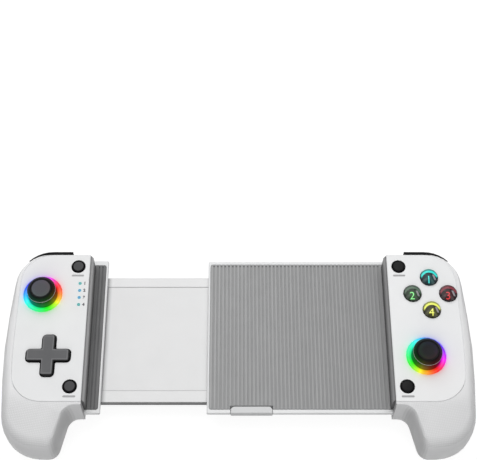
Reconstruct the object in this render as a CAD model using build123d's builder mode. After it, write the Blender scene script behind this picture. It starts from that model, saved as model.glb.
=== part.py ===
from build123d import *
from math import asin, cos, pi, radians, sin, sqrt
import os

os.makedirs("parts", exist_ok=True)

# A telescopic gamepad that grips a phone between two halves, drawn pulled fully out.
# X runs along its length, Y towards the bumpers, Z out of the face. It lies on its back at z = 0.

# Overall sizes
clamp_gap = 170.0
handle_width = 46.6
face_z = 30.0
top_y = 57.2
notch_y = -34.5
flank_y = 2.0
heel_y = -57.4
toe_y = -58.5
half_gap = clamp_gap / 2
middle_x = half_gap + handle_width / 2

# Fits between pieces
seam_gap = 0.1
button_gap = 0.3
slide_gap = 0.15
pin_gap = 0.05
seat_gap = 0.1

# Handle housing, in levels up from its back
waist_low = 12.0
waist_high = 19.0
rim_z = face_z - 0.1
shell_wall = 1.8
inner_round = 10.0
rounding_steps = 4
corner_facets = (8, 2, 8, 6, 6)
cover_facets = (8, 2, 8)

# Front cover
cover_thickness = 2.5
cover_seat_z = face_z - cover_thickness
cover_flank = handle_width - 7.0
cover_bottom_y = -31.7
cover_corner = 17.0
cover_edge = 0.25

# Inside of a handle
pocket_floor = 8.0
board_z = 17.0
board_thickness = 1.6
board_top = board_z + board_thickness
pocket_top_y = 48.6
low_pocket_top_y = 46.4
side_bay_x = 11.0
side_bay_y = 54.8
socket_bay_x = 11.8
board_gap = 0.4
pocket_bottom_y = -29.0
screw_spots = [(6.3, 13.5), (handle_width - 14.1, 11.5), (handle_width - 16.1, -22.0)]
screw_radius = 0.95
screw_head_radius = 2.1
screw_head = 1.6
screw_head_z = 3.2
screw_length = 22.6
post_radius = 2.6
usb_x = 6.7
usb_width = 8.9
usb_height = 3.2
usb_depth = 7.4
battery_size = (18.0, 34.0, 4.8)
battery_edge = 1.2
battery_spot = (handle_width / 2 - 4.9, -9.0)

# Tray on the right half, clamp ledge on the left
tray_z0 = 7.5
tray_split_z = 12.0
tray_rim_z = 13.8
tray_top_z = 15.6
tray_slope = 0.4
tray_left = -17.5
ledge_right = 8.8 - half_gap
tray_low_y = -33.4
tray_high_y = 60.0
ledge_high_y = 60.6
tray_corner = 0.5
pad_corner = 1.4
pad_inset = 1.15
pad_high_y = 58.1
pad_low_y = -31.1
pad_depth = 1.0
pad_proud = 0.4
pad_z = tray_top_z + pad_proud
rib_pitch = 2.18
rib_depth = 0.3
ledge_pad_low_y = -31.1
ledge_pad_high_y = 57.6
ledge_groove_pitch = 2.0
wall_pad_thickness = 1.3
wall_pad_high_y = 56.6
wall_groove_pitch = 3.0
edge_break = 0.4

# Telescopic bridge
bridge_low_y = -26.2
bridge_high_y = 50.4
bridge_z0 = 9.2
bridge_z1 = 13.1
bridge_end = 12.0
bridge_travel = 58.0
rail_low = 6.9
rail_high = 5.6
bridge_cover_thickness = 0.7
bridge_cover_drop = 0.2
cable_y = 9.0
cable_width = 6.0
cable_thickness = 0.3
cable_room = 0.6
cable_riser_x = half_gap + 3.0
spring_centre = (half_gap - 7.5, 53.7)
spring_radius = 3.0
spring_turn_step = 0.3
spring_half_turns = 3
spring_facets = 5
spring_thickness = 0.2
spring_height = 2.6
spring_bay_y = 57.0
lug_length = 4.0

# Release tab on the tray's lower edge
tab_x0 = -4.3
tab_x1 = 18.7
tab_inner_y = -29.4
tab_gap = 0.2
tab_flange_z = 9.5
tab_flange_side = 1.7
tab_flange_width = 2.0
tab_flange_in = 1.0
tab_bay_width = 3.4
tab_spring_wire = 0.3

# Thumb sticks, and how many sides stand for their and the buttons' rounds
stick_sides = 24
button_sides = 16
pin_sides = 12
stick_spots = {"left": (-middle_x - 2.3, 32.1), "right": (middle_x - 5.1, -5.4)}
stick_pivot_z = 24.0
dome_radius = 9.5
dome_wall = 0.8
dome_angle = 69.0
cap_radius = 7.2
cap_top_z = 38.5
ring_radius = 10.9
ring_flange = 11.35
ring_bore_top = 8.05
ring_bore_low = 9.95
stem_radius = 1.5
stem_top = 33.0
click = 0.5
cap_under_z = 34.8
cap_dish = 5.5
cap_dish_depth = 0.9
cap_neck = 3.8
cap_hub = 3.0
hub_low_z = 28.0
ring_low_z = 26.2
base_width = 13.0
base_plate = 0.9
cheek_x = 5.1
cheek_thickness = 1.3
cheek_depth = 6.0
cheek_top = 25.4
sensor_size = (8.0, 1.6, 3.4)
yoke_length = 9.6
yoke_width = 8.0
yoke_height = 2.6
yoke_window = (6.0, 5.2)
rocker_size = (4.8, 4.6, 2.4)
stick_pin = 0.9
rocker_pin = 0.7

# Buttons
face_centre = (middle_x + 0.2, 32.5)
face_pitch = 10.1
face_button_radius = 4.85
face_button_top = 31.4
face_button_crown = 0.8
face_travel = 1.2
system_spots = {
    "select_button": (-half_gap - 6.6, 49.6),
    "turbo_button": (-half_gap - 6.6, -23.1),
    "start_button": (half_gap + 6.6, 49.6),
    "home_button": (half_gap + 6.6, -23.1),
}
system_radius = 3.55
system_gap = 0.5
system_top = 30.65
system_crown = 0.15
flange_overhang = 0.6
flange_thickness = 1.6
foot_z = 22.0
foot_step = 1.6
dome_foot = 2.3
d_pad_centre = (3.7 - middle_x, -5.2)
d_pad_reach = 12.0
d_pad_arm = 3.5
d_pad_gap = 0.6
d_pad_top = 31.6
d_pad_pivot_z = 27.0
d_pad_ball = 1.6
d_pad_corner = 1.8
d_pad_inner_corner = 0.7
d_pad_facets = 3
d_pad_flange_z = 24.4
d_pad_flange = 1.3
d_pad_flange_radius = 13.8
d_pad_post = 1.1
d_pad_peg_pitch = 8.2
d_pad_peg = 1.4
light_x = -half_gap - 5.0
light_ys = (38.9, 34.5, 30.1, 25.7)
light_radius = 0.85

# Bumpers and triggers, at the top edge
bumper_x0 = 10.9
bumper_z0 = 20.0
bumper_z1 = 27.2
bumper_proud = 3.7
bumper_inset = 3.0
bumper_play = 1.5
bumper_end_play = 2.2
bumper_gap = 0.3
bumper_sweep = 35.0
bumper_tip_radius = 21.2
bumper_nub = 1.2
bumper_nub_radius = 1.0
bumper_pivot_x = 14.0
bumper_pivot_y = 55.4
bumper_edge = 0.8
bumper_facets = 5
trigger_x0 = 13.5
trigger_width = 17.0
trigger_top = 17.2
trigger_low_z = 4.2
trigger_front_y = 60.4
trigger_pin_y = 51.8
trigger_pin_z = 14.6
trigger_pin_radius = 1.0
trigger_pin_grip = 1.3
trigger_leaf = 0.35
trigger_bay_y = 49.3
trigger_bay_z = 17.6
shoulder_radius = 19.5


# Sitting pieces share these: a box or cylinder that stands on its location
standing = (Align.CENTER, Align.CENTER, Align.MIN)
corner_low = (Align.MIN, Align.MIN, Align.MIN)


def handle_outline(z):
    """Corners and corner radii of the right housing's outline at height z, as (x, y) pairs."""
    waist = [
        (handle_width - 5.4, top_y),
        (handle_width, flank_y),
        (handle_width - 4.0, heel_y),
        (13.2, toe_y),
        (7.2, notch_y),
    ]
    waist_radii = [shoulder_radius, 240.0, 22.0, 6.5, 7.0]
    if z > waist_high:
        rise = (z - waist_high) / (rim_z - waist_high)
        shift = [(-1.0, 0.0), (-5.0, 0.0), (-5.0, 8.0), (1.8, 7.0), (2.0, 1.3)]
        end_radii = [17.5, 240.0, 16.0, 5.5, 8.0]
    else:
        rise = max(0.0, (waist_low - z) / waist_low)
        shift = [(-8.0, -38.0), (-10.0, 0.0), (-8.6, 19.0), (6.8, 16.0), (11.8, 7.5)]
        end_radii = [11.0, 50.0, 9.0, 5.0, 5.0]
    part_way = 1 - sqrt(max(0.0, 1 - rise * rise))
    corners = [
        (half_gap + x + dx * part_way, y + dy * part_way)
        for (x, y), (dx, dy) in zip(waist, shift)
    ]
    radii = [a + (b - a) * part_way for a, b in zip(waist_radii, end_radii)]
    return corners, radii


def inner_edge(z):
    """Where the housing's inner side lies at height z: upright beside the tray, rounded under it."""
    drop = max(0.0, (tray_z0 - z) / tray_z0)
    return half_gap + inner_round * (1 - sqrt(1 - drop * drop))


def facets(outline, steps):
    """Points along an outline: so many steps on each rounded corner and one on each side between."""
    points = []
    turns = iter(steps)
    for edge in outline.order_edges():
        count = next(turns) if edge.geom_type == GeomType.CIRCLE else 1
        points += [edge @ (i / count) for i in range(count)]
    return points


def cover_outline():
    """Closed wire of the right front cover's outline."""
    outline = FilletPolyline(
        (half_gap, top_y),
        (half_gap + cover_flank - 1.2, top_y),
        (half_gap + cover_flank, flank_y),
        (half_gap + cover_flank - 1.0, cover_bottom_y),
        (half_gap, cover_bottom_y),
        radius=[17.2, 240.0, cover_corner],
        mode=Mode.PRIVATE,
    )
    Polyline(*facets(outline, cover_facets), (half_gap, cover_bottom_y), close=True)


def spots(points):
    """Places given from the clamp wall, as points of the right half."""
    return [(half_gap + x, y) for x, y in points]


def skinned(rings, mode=Mode.ADD):
    """Adds the solid between stacked rings of points, with flat triangles from each ring to the next."""
    skin = [Face(Wire.make_polygon(ring)) for ring in (rings[0], rings[-1])]
    for low, high in zip(rings, rings[1:]):
        for i in range(len(low)):
            for corners in ((low[i - 1], low[i], high[i]), (low[i - 1], high[i], high[i - 1])):
                skin.append(Face(Wire.make_polygon(corners)))
    add(Solid(Shell(skin)), mode=mode)


def turned(spot, profile, sides, mode=Mode.ADD):
    """Adds a many-sided stand-in for a turned piece, from (radius, height) pairs in order of height."""
    turn = [2 * pi * (i + 0.5) / sides for i in range(sides)]
    skinned([[(spot[0] + r * cos(a), spot[1] + r * sin(a), z) for a in turn] for r, z in profile], mode)


# Levels of the housing's sections: closer together where it rounds over
quarter = [sin(pi / 2 * i / rounding_steps) for i in range(rounding_steps + 1)]
levels = [waist_low * (1 - s) for s in reversed(quarter)]
levels += [waist_high + (rim_z - waist_high) * s for s in quarter]

# Handle housing, right hand, before its cut-outs
with BuildPart() as handle_blank:
    rings = []
    for z in levels:
        corners, radii = handle_outline(z)
        start = (inner_edge(z), corners[0][1])
        end = (inner_edge(z), corners[-1][1])
        with BuildLine():
            outline = FilletPolyline(start, *corners, end, radius=radii, mode=Mode.PRIVATE)
        rings.append([(point.X, point.Y, z) for point in (*facets(outline, corner_facets), Vector(*end))])
    skinned(rings)

# Inside space of a handle: the upper room for board and buttons, the lower for battery and socket
with BuildSketch() as cover_face:
    with BuildLine():
        cover_outline()
    make_face()

with BuildSketch() as upper_room:
    add(cover_face.sketch)
    offset(amount=-shell_wall, mode=Mode.REPLACE)
    with BuildSketch(mode=Mode.INTERSECT):
        with Locations((half_gap, pocket_bottom_y)):
            Rectangle(handle_width, pocket_top_y - pocket_bottom_y, align=(Align.MIN, Align.MIN))
        with Locations((half_gap + shell_wall, 0)):
            Rectangle(side_bay_x - shell_wall, side_bay_y, align=(Align.MIN, Align.MIN))

with BuildSketch() as lower_room:
    add(upper_room.sketch)
    with Locations((half_gap + side_bay_x, low_pocket_top_y)):
        Rectangle(handle_width, handle_width, align=(Align.MIN, Align.MIN), mode=Mode.SUBTRACT)
    with Locations((half_gap + shell_wall, 0)):
        Rectangle(socket_bay_x - shell_wall, side_bay_y, align=(Align.MIN, Align.MIN))


def bend_points(bend, end):
    """Points of the arc that leaves bend along X and meets end."""
    across, down = end[0] - bend[0], bend[1] - end[1]
    radius = (across**2 + down**2) / (2 * down)
    turn = [asin(across / radius) * i / bumper_facets for i in range(bumper_facets + 1)]
    return [(bend[0] + radius * sin(a), bend[1] - radius * (1 - cos(a))) for a in turn]


def bumper_plan(inset, swing, side_gap):
    """Closed wire round a bumper's plan along the shoulder; its bay has a larger inset, swing and gap."""
    aim = radians(bumper_sweep + swing)
    radius = shoulder_radius - inset
    start = (half_gap + bumper_x0 - side_gap, top_y - inset)
    bend = (shoulder[0], top_y - inset)
    end = (shoulder[0] + radius * sin(aim), shoulder[1] + radius * cos(aim))
    tip = (shoulder[0] + bumper_tip_radius * sin(aim), shoulder[1] + bumper_tip_radius * cos(aim))
    outer_bend = (shoulder[0] - 1.5, top_y + bumper_proud)
    outer_start = (start[0], top_y + bumper_proud)
    Polyline(start, *bend_points(bend, end), *reversed(bend_points(outer_bend, tip)), outer_start, close=True)


def prism(places, z0, z1, radius, sides=8, mode=Mode.ADD):
    """Many-sided stand-ins for hidden round posts or holes, between two heights."""
    with BuildSketch(Plane.XY.offset(z0)) as plan:
        with Locations(*places):
            RegularPolygon(radius, sides, major_radius=False)
    extrude(plan.sketch, amount=z1 - z0, mode=mode)


def pin(plane, spot, length, radius):
    """Many-sided stand-in for a small round pin, none of it outside the radius."""
    with BuildSketch(plane) as end:
        with Locations(spot):
            RegularPolygon(radius, pin_sides)
    extrude(end.sketch, amount=length)


def take_side(side):
    """Mirrors the right-hand piece being built when it belongs to the left."""
    if side == "left":
        mirror(about=Plane.YZ, mode=Mode.REPLACE)


def dome_points(radius, inner, steps):
    """Points down a dome about the stick's pivot, from its neck or hub to its edge."""
    first = asin(inner / radius)
    step = (radians(dome_angle) - first) / steps
    angles = [first + i * step for i in range(steps + 1)]
    return [(radius * sin(a), stick_pivot_z + radius * cos(a)) for a in angles]


def d_pad_plan(grow):
    """Cross face of the direction pad, or of its hole when grown by the gap."""
    arm, reach = d_pad_arm + grow, d_pad_reach + grow
    corners = []
    for across, along in ((1, 1), (1, -1), (-1, -1), (-1, 1)):
        corner = [(across * arm, along * reach), (across * arm, along * arm), (across * reach, along * arm)]
        corners += corner if across == along else reversed(corner)
    radii = [d_pad_corner + grow, d_pad_inner_corner, d_pad_corner + grow] * 4
    with BuildSketch() as cross:
        with BuildLine():
            outline = FilletPolyline(*corners, radius=radii, close=True, mode=Mode.PRIVATE)
            points = facets(outline, [d_pad_facets] * len(corners))
            Polyline(*[point + Vector(*d_pad_centre) for point in points], close=True)
        make_face()
    return cross.sketch


directions = {"top": (0, 1), "right": (1, 0), "bottom": (0, -1), "left": (-1, 0)}
face_spots = {
    place: (face_centre[0] + face_pitch * dx, face_centre[1] + face_pitch * dy)
    for place, (dx, dy) in directions.items()
}
system_on = {
    "left": [system_spots["select_button"], system_spots["turbo_button"]],
    "right": [system_spots["start_button"], system_spots["home_button"]],
}

bumper_pivot = spots([(bumper_pivot_x, bumper_pivot_y)])
shoulder = (half_gap + handle_width - 22.9, top_y - shoulder_radius)

# Rear housing, right hand: rooms, bays for bumper and trigger, screw posts
with BuildPart() as shell_blank:
    add(handle_blank.part)
    with BuildSketch(Plane.XY.offset(cover_seat_z)):
        add(cover_face.sketch)
        offset(amount=seam_gap, mode=Mode.REPLACE)
    extrude(amount=cover_thickness, mode=Mode.SUBTRACT)
    with BuildSketch(Plane.XY.offset(board_z)):
        add(upper_room.sketch)
    extrude(amount=cover_seat_z - board_z, mode=Mode.SUBTRACT)
    with BuildSketch(Plane.XY.offset(pocket_floor)):
        add(lower_room.sketch)
    extrude(amount=board_z - pocket_floor, mode=Mode.SUBTRACT)
    prism(spots(screw_spots), pocket_floor, board_z, post_radius)
    with BuildSketch(Plane.XY.offset(bumper_z0 - bumper_gap)):
        with BuildLine():
            bumper_plan(bumper_inset + bumper_play, bumper_end_play, bumper_gap)
        make_face()
    extrude(amount=cover_seat_z - bumper_z0 + bumper_gap, mode=Mode.SUBTRACT)
    with Locations((half_gap + trigger_x0 - bumper_gap, trigger_bay_y, -1)):
        bay_width = trigger_width + 2 * bumper_gap
        Box(bay_width, handle_width, trigger_bay_z + 1, align=corner_low, mode=Mode.SUBTRACT)
    with BuildSketch(Plane.YZ.offset(half_gap + trigger_x0 - trigger_pin_grip)):
        with Locations((trigger_pin_y, trigger_pin_z)):
            RegularPolygon(trigger_pin_radius + pin_gap, pin_sides, major_radius=False)
    extrude(amount=trigger_width + 2 * trigger_pin_grip, mode=Mode.SUBTRACT)
    prism(bumper_pivot, bumper_z0 - bumper_nub, bumper_z0, bumper_nub_radius + pin_gap, mode=Mode.SUBTRACT)
    prism(spots(screw_spots), -1, screw_head_z + screw_head, screw_head_radius + seat_gap, 12, Mode.SUBTRACT)
    prism(spots(screw_spots), screw_head_z, board_z, screw_radius + pin_gap, mode=Mode.SUBTRACT)
    with Locations((half_gap, cable_y, bridge_z0 + cable_thickness)):
        Box(2 * shell_wall + 1, cable_width + 0.6, 2 * cable_room, mode=Mode.SUBTRACT)

# Front cover, right hand, before its holes: screw bosses under it and a bearing for the bumper's nub
with BuildPart() as cover_blank:
    with BuildSketch(Plane.XY.offset(cover_seat_z)):
        add(cover_face.sketch)
    extrude(amount=cover_thickness)
    chamfer(cover_blank.faces().sort_by(Axis.Z)[-1].edges(), cover_edge)
    prism(spots(screw_spots), board_top, cover_seat_z, post_radius)
    prism(spots(screw_spots), board_top, cover_seat_z - 0.5, screw_radius + pin_gap, mode=Mode.SUBTRACT)
    nub_top = cover_seat_z + bumper_nub
    prism(bumper_pivot, cover_seat_z, nub_top, bumper_nub_radius + pin_gap, mode=Mode.SUBTRACT)

for side in ("left", "right"):
    stick = stick_spots[side]

    # Rear housing, with the charging socket's mouth in the right one
    with BuildPart() as rear_shell:
        add(shell_blank.part)
        if side == "right":
            with BuildSketch(Plane.XZ.offset(-low_pocket_top_y)):
                with Locations((half_gap + usb_x, board_z - usb_height / 2)):
                    SlotOverall(usb_width + 2 * seat_gap, usb_height + 2 * seat_gap)
            extrude(amount=low_pocket_top_y - top_y - 1, mode=Mode.SUBTRACT)
            relief_z = cover_seat_z - flange_thickness - face_travel - 2 * seat_gap
            relief_radius = face_button_radius + flange_overhang + button_gap
            prism(face_spots.values(), relief_z, cover_seat_z, relief_radius, 12, Mode.SUBTRACT)
        take_side(side)
    rear_shell.part.label = f"{side}_rear_shell"
    export_step(rear_shell.part, f"parts/{side}_rear_shell.step")

    # Front cover with its holes
    with BuildPart() as front_cover:
        add(cover_blank.part)
        take_side(side)
        with BuildSketch(Plane.XY.offset(cover_seat_z)):
            with Locations(stick):
                RegularPolygon(ring_radius + pin_gap, stick_sides, major_radius=False)
            with Locations(*system_on[side]):
                RegularPolygon(system_radius + system_gap, button_sides, major_radius=False)
            if side == "right":
                with Locations(*face_spots.values()):
                    RegularPolygon(face_button_radius + button_gap, button_sides, major_radius=False)
            else:
                add(d_pad_plan(d_pad_gap))
                with Locations(*[(light_x, y) for y in light_ys]):
                    RegularPolygon(light_radius + pin_gap, 12, major_radius=False)
        extrude(amount=cover_thickness, mode=Mode.SUBTRACT)
    front_cover.part.label = f"{side}_front_cover"
    export_step(front_cover.part, f"parts/{side}_front_cover.step")

    # Circuit board, resting on the screw posts
    with BuildPart() as circuit_board:
        with BuildSketch(Plane.XY.offset(board_z)):
            add(upper_room.sketch)
            offset(amount=-board_gap, mode=Mode.REPLACE)
            with Locations(*spots(screw_spots)):
                RegularPolygon(screw_radius + pin_gap, 8, major_radius=False, mode=Mode.SUBTRACT)
        extrude(amount=board_thickness)
        take_side(side)
    circuit_board.part.label = f"{side}_circuit_board"
    export_step(circuit_board.part, f"parts/{side}_circuit_board.step")

    # Screws from the back, through post and board into the cover's bosses
    with BuildPart() as screws:
        prism(spots(screw_spots), screw_head_z, screw_head_z + screw_head, screw_head_radius, 12)
        with Locations(*[(x, y, screw_head_z) for x, y in spots(screw_spots)]):
            Box(2.4, 0.6, 1.6, mode=Mode.SUBTRACT)
            Box(0.6, 2.4, 1.6, mode=Mode.SUBTRACT)
        prism(spots(screw_spots), screw_head_z + screw_head, screw_head_z + screw_length, screw_radius)
        take_side(side)
    screws.part.label = f"{side}_screws"
    export_step(screws.part, f"parts/{side}_screws.step")

    # Rubber lining of the clamp wall, bevelled at the top and grooved along its length
    with BuildPart() as wall_pad:
        with BuildSketch(Plane.XZ.offset(-pad_low_y)):
            with BuildLine():
                Polyline(
                    (half_gap, tray_top_z + pin_gap),
                    (half_gap - wall_pad_thickness, tray_top_z + pin_gap),
                    (half_gap - wall_pad_thickness, face_z - 3.2),
                    (half_gap - 0.4, face_z - 0.6),
                    (half_gap, face_z - 0.6),
                    close=True,
                )
            make_face()
            with Locations((half_gap - wall_pad_thickness, (pad_z + face_z) / 2 - 1)):
                with GridLocations(1, wall_groove_pitch, 1, 3):
                    Rectangle(2 * rib_depth, 0.8, mode=Mode.SUBTRACT)
        extrude(amount=pad_low_y - wall_pad_high_y)
        take_side(side)
    wall_pad.part.label = f"{side}_wall_pad"
    export_step(wall_pad.part, f"parts/{side}_wall_pad.step")

    # Bumper, swinging on two nubs
    with BuildPart() as bumper:
        with BuildSketch(Plane.XY.offset(bumper_z0)):
            with BuildLine():
                bumper_plan(bumper_inset, 0, 0)
            make_face()
        extrude(amount=bumper_z1 - bumper_z0)
        rims = bumper.faces().sort_by(Axis.Z)
        outer = (rims[0].edges() + rims[-1].edges()).filter_by(
            lambda e: e.center().Y > top_y
            or (e.center() - Vector(*shoulder, e.center().Z)).length > shoulder_radius
        )
        chamfer(outer, bumper_edge)
        nub_reach = cover_seat_z - bumper_z0 + 2 * bumper_nub - 2 * seat_gap
        pin(Plane.XY.offset(bumper_z0 - bumper_nub + seat_gap), bumper_pivot[0], nub_reach, bumper_nub_radius)
        take_side(side)
    bumper.part.label = f"{side}_bumper"
    export_step(bumper.part, f"parts/{side}_bumper.step")

    # Trigger, a curved blade turning on a pin
    with BuildPart() as trigger:
        with BuildSketch(Plane.YZ.offset(half_gap + trigger_x0)):
            with BuildLine():
                Line((trigger_pin_y - 0.6, trigger_top - 0.3), (57.5, trigger_top))
                ThreePointArc((57.5, trigger_top), (trigger_front_y, 12.2), (trigger_front_y, trigger_low_z))
                Line((trigger_front_y, trigger_low_z), (59.0, trigger_low_z + 0.4))
                ThreePointArc((59.0, trigger_low_z + 0.4), (58.7, 10.2), (55.6, 12.3))
                Line((55.6, 12.3), (trigger_pin_y - 0.6, trigger_pin_z - 2.1))
                ThreePointArc(
                    (trigger_pin_y - 0.6, trigger_pin_z - 2.1),
                    (trigger_pin_y - 2.2, trigger_pin_z),
                    (trigger_pin_y - 0.6, trigger_top - 0.3),
                )
            make_face()
            with Locations((trigger_pin_y, trigger_pin_z)):
                bore = trigger_pin_radius + pin_gap
                RegularPolygon(bore, pin_sides, major_radius=False, mode=Mode.SUBTRACT)
        extrude(amount=trigger_width)
        take_side(side)
    trigger.part.label = f"{side}_trigger"
    export_step(trigger.part, f"parts/{side}_trigger.step")

    with BuildPart() as trigger_pin:
        pin_end = Plane.YZ.offset(half_gap + trigger_x0 - trigger_pin_grip + seat_gap)
        pin_length = trigger_width + 2 * trigger_pin_grip - 2 * seat_gap
        pin(pin_end, (trigger_pin_y, trigger_pin_z), pin_length, trigger_pin_radius)
        take_side(side)
    trigger_pin.part.label = f"{side}_trigger_pin"
    export_step(trigger_pin.part, f"parts/{side}_trigger_pin.step")

    # Leaf spring between the bay's wall and the trigger's blade
    with BuildPart() as trigger_spring:
        with BuildSketch(Plane.YZ.offset(half_gap + trigger_x0 + trigger_width / 2 - 3)):
            with BuildLine():
                Polyline(
                    (trigger_bay_y + pin_gap + trigger_leaf / 2, 10.5),
                    (trigger_bay_y + pin_gap + trigger_leaf / 2, 4.6),
                    (trigger_bay_y + 1.4, 3.6),
                    (58.2, 8.8),
                )
            trace(line_width=trigger_leaf)
        extrude(amount=6)
        take_side(side)
    trigger_spring.part.label = f"{side}_trigger_spring"
    export_step(trigger_spring.part, f"parts/{side}_trigger_spring.step")

    # Thumb stick's base: plate on the board, two cheeks that hold the yoke, and a sensor
    with BuildPart() as stick_base:
        with Locations((*stick, board_top)):
            Box(base_width, base_width, base_plate, align=standing)
        for along in (-1, 1):
            with Locations((stick[0] + along * (cheek_x + cheek_thickness / 2), stick[1], board_top)):
                Box(cheek_thickness, cheek_depth, cheek_top - board_top, align=standing)
        with Locations((stick[0], stick[1] - base_width / 2 + sensor_size[1] / 2, board_top + base_plate)):
            Box(*sensor_size, align=standing)
        with BuildSketch(Plane.YZ.offset(stick[0] - base_width / 2)):
            with Locations((stick[1], stick_pivot_z)):
                RegularPolygon(stick_pin + pin_gap, pin_sides, major_radius=False)
        extrude(amount=base_width, mode=Mode.SUBTRACT)
    stick_base.part.label = f"{side}_stick_base"
    export_step(stick_base.part, f"parts/{side}_stick_base.step")

    # Yoke, which turns about X in the cheeks
    with BuildPart() as stick_yoke:
        with Locations((*stick, stick_pivot_z)):
            Box(yoke_length, yoke_width, yoke_height)
            Box(*yoke_window, yoke_height, mode=Mode.SUBTRACT)
        with BuildSketch(Plane.XZ.offset(-stick[1] - yoke_width / 2)):
            with Locations((stick[0], stick_pivot_z)):
                RegularPolygon(rocker_pin + pin_gap, pin_sides, major_radius=False)
        extrude(amount=yoke_width, mode=Mode.SUBTRACT)
        pin_length = cheek_x + cheek_thickness - yoke_length / 2 - seat_gap
        for pin_x in (stick[0] - yoke_length / 2 - pin_length, stick[0] + yoke_length / 2):
            pin(Plane.YZ.offset(pin_x), (stick[1], stick_pivot_z), pin_length, stick_pin)
    stick_yoke.part.label = f"{side}_stick_yoke"
    export_step(stick_yoke.part, f"parts/{side}_stick_yoke.step")

    # Rocker, which turns about Y in the yoke and carries the cap on its stem
    with BuildPart() as stick_rocker:
        with Locations((*stick, stick_pivot_z)):
            Box(*rocker_size)
        pin_length = yoke_width - 2 * seat_gap
        pin(Plane.XZ.offset(-stick[1] - pin_length / 2), (stick[0], stick_pivot_z), pin_length, rocker_pin)
        prism([stick], stick_pivot_z, stem_top, stem_radius)
    stick_rocker.part.label = f"{side}_stick_rocker"
    export_step(stick_rocker.part, f"parts/{side}_stick_rocker.step")

    # Cap: dished top, neck, a dome about the pivot that closes the ring's bore at every tilt, and a hub
    outer_dome = dome_points(dome_radius, cap_neck, 3)
    inner_dome = dome_points(dome_radius - dome_wall, cap_hub, 2)
    with BuildPart() as stick_cap:
        upper = [
            (cap_radius - 0.5, cap_under_z - 0.5),
            (cap_radius, cap_under_z),
            (cap_radius, cap_top_z - edge_break),
            (cap_radius - edge_break, cap_top_z),
        ]
        turned(stick, [*reversed(outer_dome), *upper], stick_sides)
        dish = [(cap_dish - 0.5, cap_top_z - cap_dish_depth), (cap_dish, cap_top_z)]
        turned(stick, dish, stick_sides, Mode.SUBTRACT)
        turned(stick, list(reversed(inner_dome)), stick_sides, Mode.SUBTRACT)
        prism([stick], hub_low_z, inner_dome[0][1] + 0.1, cap_hub)
        prism([stick], hub_low_z, stem_top + click + seat_gap, stem_radius + seat_gap, mode=Mode.SUBTRACT)
    stick_cap.part.label = f"{side}_stick_cap"
    export_step(stick_cap.part, f"parts/{side}_stick_cap.step")

    # Light ring, clear plastic round the stick, its foot wider than the cover's hole
    with BuildPart() as light_ring:
        outside = [
            (ring_flange, ring_low_z),
            (ring_radius, cover_seat_z),
            (ring_radius, face_z),
            ((ring_radius + ring_bore_top) / 2 + 0.3, face_z + 0.35),
        ]
        turned(stick, outside, stick_sides)
        bore = [
            (ring_bore_low, ring_low_z),
            (ring_bore_top, face_z - 0.5),
            (ring_bore_top + 0.8, face_z + 0.35),
        ]
        turned(stick, bore, stick_sides, Mode.SUBTRACT)
    light_ring.part.label = f"{side}_light_ring"
    export_step(light_ring.part, f"parts/{side}_light_ring.step")


def crown_height(radius, crown, x):
    """Height of a crowned top above its rim, x from its middle."""
    ball = (radius**2 + crown**2) / (2 * crown)
    return sqrt(ball**2 - x**2) - (ball - crown)


flange_top = cover_seat_z - seat_gap
flange_low = flange_top - flange_thickness
buttons = [
    (f"face_button_{place}", spot, face_button_radius, face_button_top, face_button_crown)
    for place, spot in face_spots.items()
]
buttons += [(name, spot, system_radius, system_top, system_crown) for name, spot in system_spots.items()]
for name, spot, radius, top, crown in buttons:
    # Push button: crowned top, flange that stops it under the cover, foot on its dome
    rim = radius - edge_break
    with BuildPart() as button:
        profile = [
            (radius, flange_low),
            (radius, top - edge_break),
            (rim, top),
            (0.6 * rim, top + crown_height(rim, crown, 0.6 * rim)),
            (0.1 * rim, top + crown),
        ]
        turned(spot, profile, button_sides)
        prism([spot], flange_low, flange_top, radius + flange_overhang, 12)
        prism([spot], foot_z, flange_low, radius - foot_step)
    button.part.label = name
    export_step(button.part, f"parts/{name}.step")

# Silicone domes on each board, one under every button and under each peg of the direction pad
d_pad_pegs = [
    (d_pad_centre[0] + d_pad_peg_pitch * dx, d_pad_centre[1] + d_pad_peg_pitch * dy)
    for dx, dy in directions.values()
]
dome_spots = {
    "left": system_on["left"] + d_pad_pegs,
    "right": system_on["right"] + list(face_spots.values()),
}
for side, places in dome_spots.items():
    with BuildPart() as button_domes:
        prism(places, board_top, board_top + 0.5, dome_foot + 0.6)
        with BuildSketch(Plane.XY.offset(board_top)):
            with Locations(*places):
                RegularPolygon(dome_foot, 8, major_radius=False)
        extrude(amount=foot_z - seat_gap - board_top, taper=12)
    button_domes.part.label = f"{side}_button_domes"
    export_step(button_domes.part, f"parts/{side}_button_domes.step")

# Direction pad: cross over a round flange, four pegs, and a socket for the ball
with BuildPart() as d_pad:
    prism([d_pad_centre], d_pad_flange_z, d_pad_flange_z + d_pad_flange, d_pad_flange_radius, 16)
    with BuildSketch(Plane.XY.offset(d_pad_flange_z)):
        add(d_pad_plan(0))
    extrude(amount=d_pad_top - d_pad_flange_z)
    chamfer(d_pad.faces().sort_by(Axis.Z)[-1].edges(), edge_break)
    prism(d_pad_pegs, foot_z, d_pad_flange_z, d_pad_peg)
    socket_top = d_pad_pivot_z + d_pad_ball + seat_gap
    prism([d_pad_centre], d_pad_flange_z, socket_top, d_pad_ball + pin_gap, 12, mode=Mode.SUBTRACT)
d_pad.part.label = "d_pad"
export_step(d_pad.part, "parts/d_pad.step")

with BuildPart() as d_pad_pivot:
    turn = [radians(angle) for angle in (22.5, 67.5, 112.5, 157.5)]
    ball = [(d_pad_ball * sin(a), d_pad_pivot_z - d_pad_ball * cos(a)) for a in turn]
    turned(d_pad_centre, ball, 12)
d_pad_pivot.part.label = "d_pad_pivot"
export_step(d_pad_pivot.part, "parts/d_pad_pivot.step")

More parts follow.
